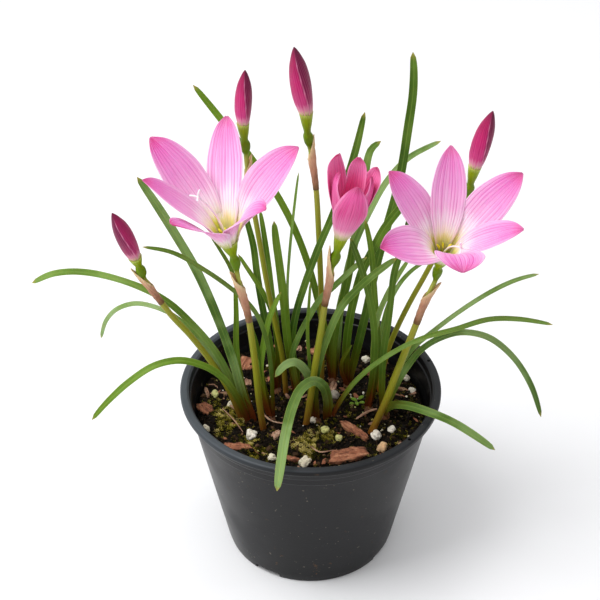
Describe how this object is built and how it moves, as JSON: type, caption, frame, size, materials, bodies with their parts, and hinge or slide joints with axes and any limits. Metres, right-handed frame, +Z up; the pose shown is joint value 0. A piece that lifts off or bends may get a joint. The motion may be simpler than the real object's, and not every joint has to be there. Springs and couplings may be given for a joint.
{
  "type": "potted rain lily",
  "caption": "Pink rain lily in bloom, with buds, open flowers and grass-like leaves, rooted in potting mix in a tapered black nursery pot.",
  "frame": {"origin": "centre of the pot's flat base, on the surface that it stands on", "axes": "+Z up along the pot's axis; -Y towards the front of the plant, +X to its right as seen from the front"},
  "size_m": [0.2462, 0.1472, 0.271],
  "materials": {
    "pot_plastic": "moulded black plastic with a slight sheen",
    "potting_mix": "dark crumbs of bark and peat with white perlite",
    "bark": "rough reddish-brown bark",
    "leaf": "smooth leaf with fine long veins",
    "flower_stem": "smooth hollow stem",
    "sheath": "thin papery skin",
    "bud": "satin petals furled round each other",
    "tepal": "soft translucent petal with long veins",
    "stamen": "powdery anthers on smooth filaments"
  },
  "bodies": {
    "root": {"pot": "pot_plastic", "potting_mix": "potting_mix", "bark_chip_front_right": "bark", "bark_chip_front_slanting": "bark", "bark_chip_front_left": "bark", "bark_chip_left": "bark", "bark_chip_back_left": "bark", "bulb_and_leaves_left": "leaf", "bulb_and_leaves_front_left": "leaf", "bulb_and_leaves_back_left": "leaf", "bulb_and_leaves_middle": "leaf", "bulb_and_leaves_front_middle": "leaf", "bulb_and_leaves_front_right": "leaf", "bulb_and_leaves_back_middle": "leaf", "bulb_and_leaves_back_right": "leaf", "bulb_and_leaves_right": "leaf", "bulb_and_leaves_far_right": "leaf", "flower_stem_1": "flower_stem", "flower_stem_2": "flower_stem", "flower_stem_3": "flower_stem", "flower_stem_4": "flower_stem", "flower_stem_5": "flower_stem", "flower_stem_6": "flower_stem", "flower_stem_7": "flower_stem", "sheath_1": "sheath", "sheath_2": "sheath", "sheath_3": "sheath", "sheath_4": "sheath", "sheath_5": "sheath", "sheath_6": "sheath", "sheath_7": "sheath", "bud_1": "bud", "bud_3": "bud", "bud_4": "bud", "bud_7": "bud", "flower_2": "tepal", "flower_5": "tepal", "flower_6": "tepal", "stamens_2": "stamen", "stamens_5": "stamen", "stamens_6": "stamen"}
  },
  "joints": []
}
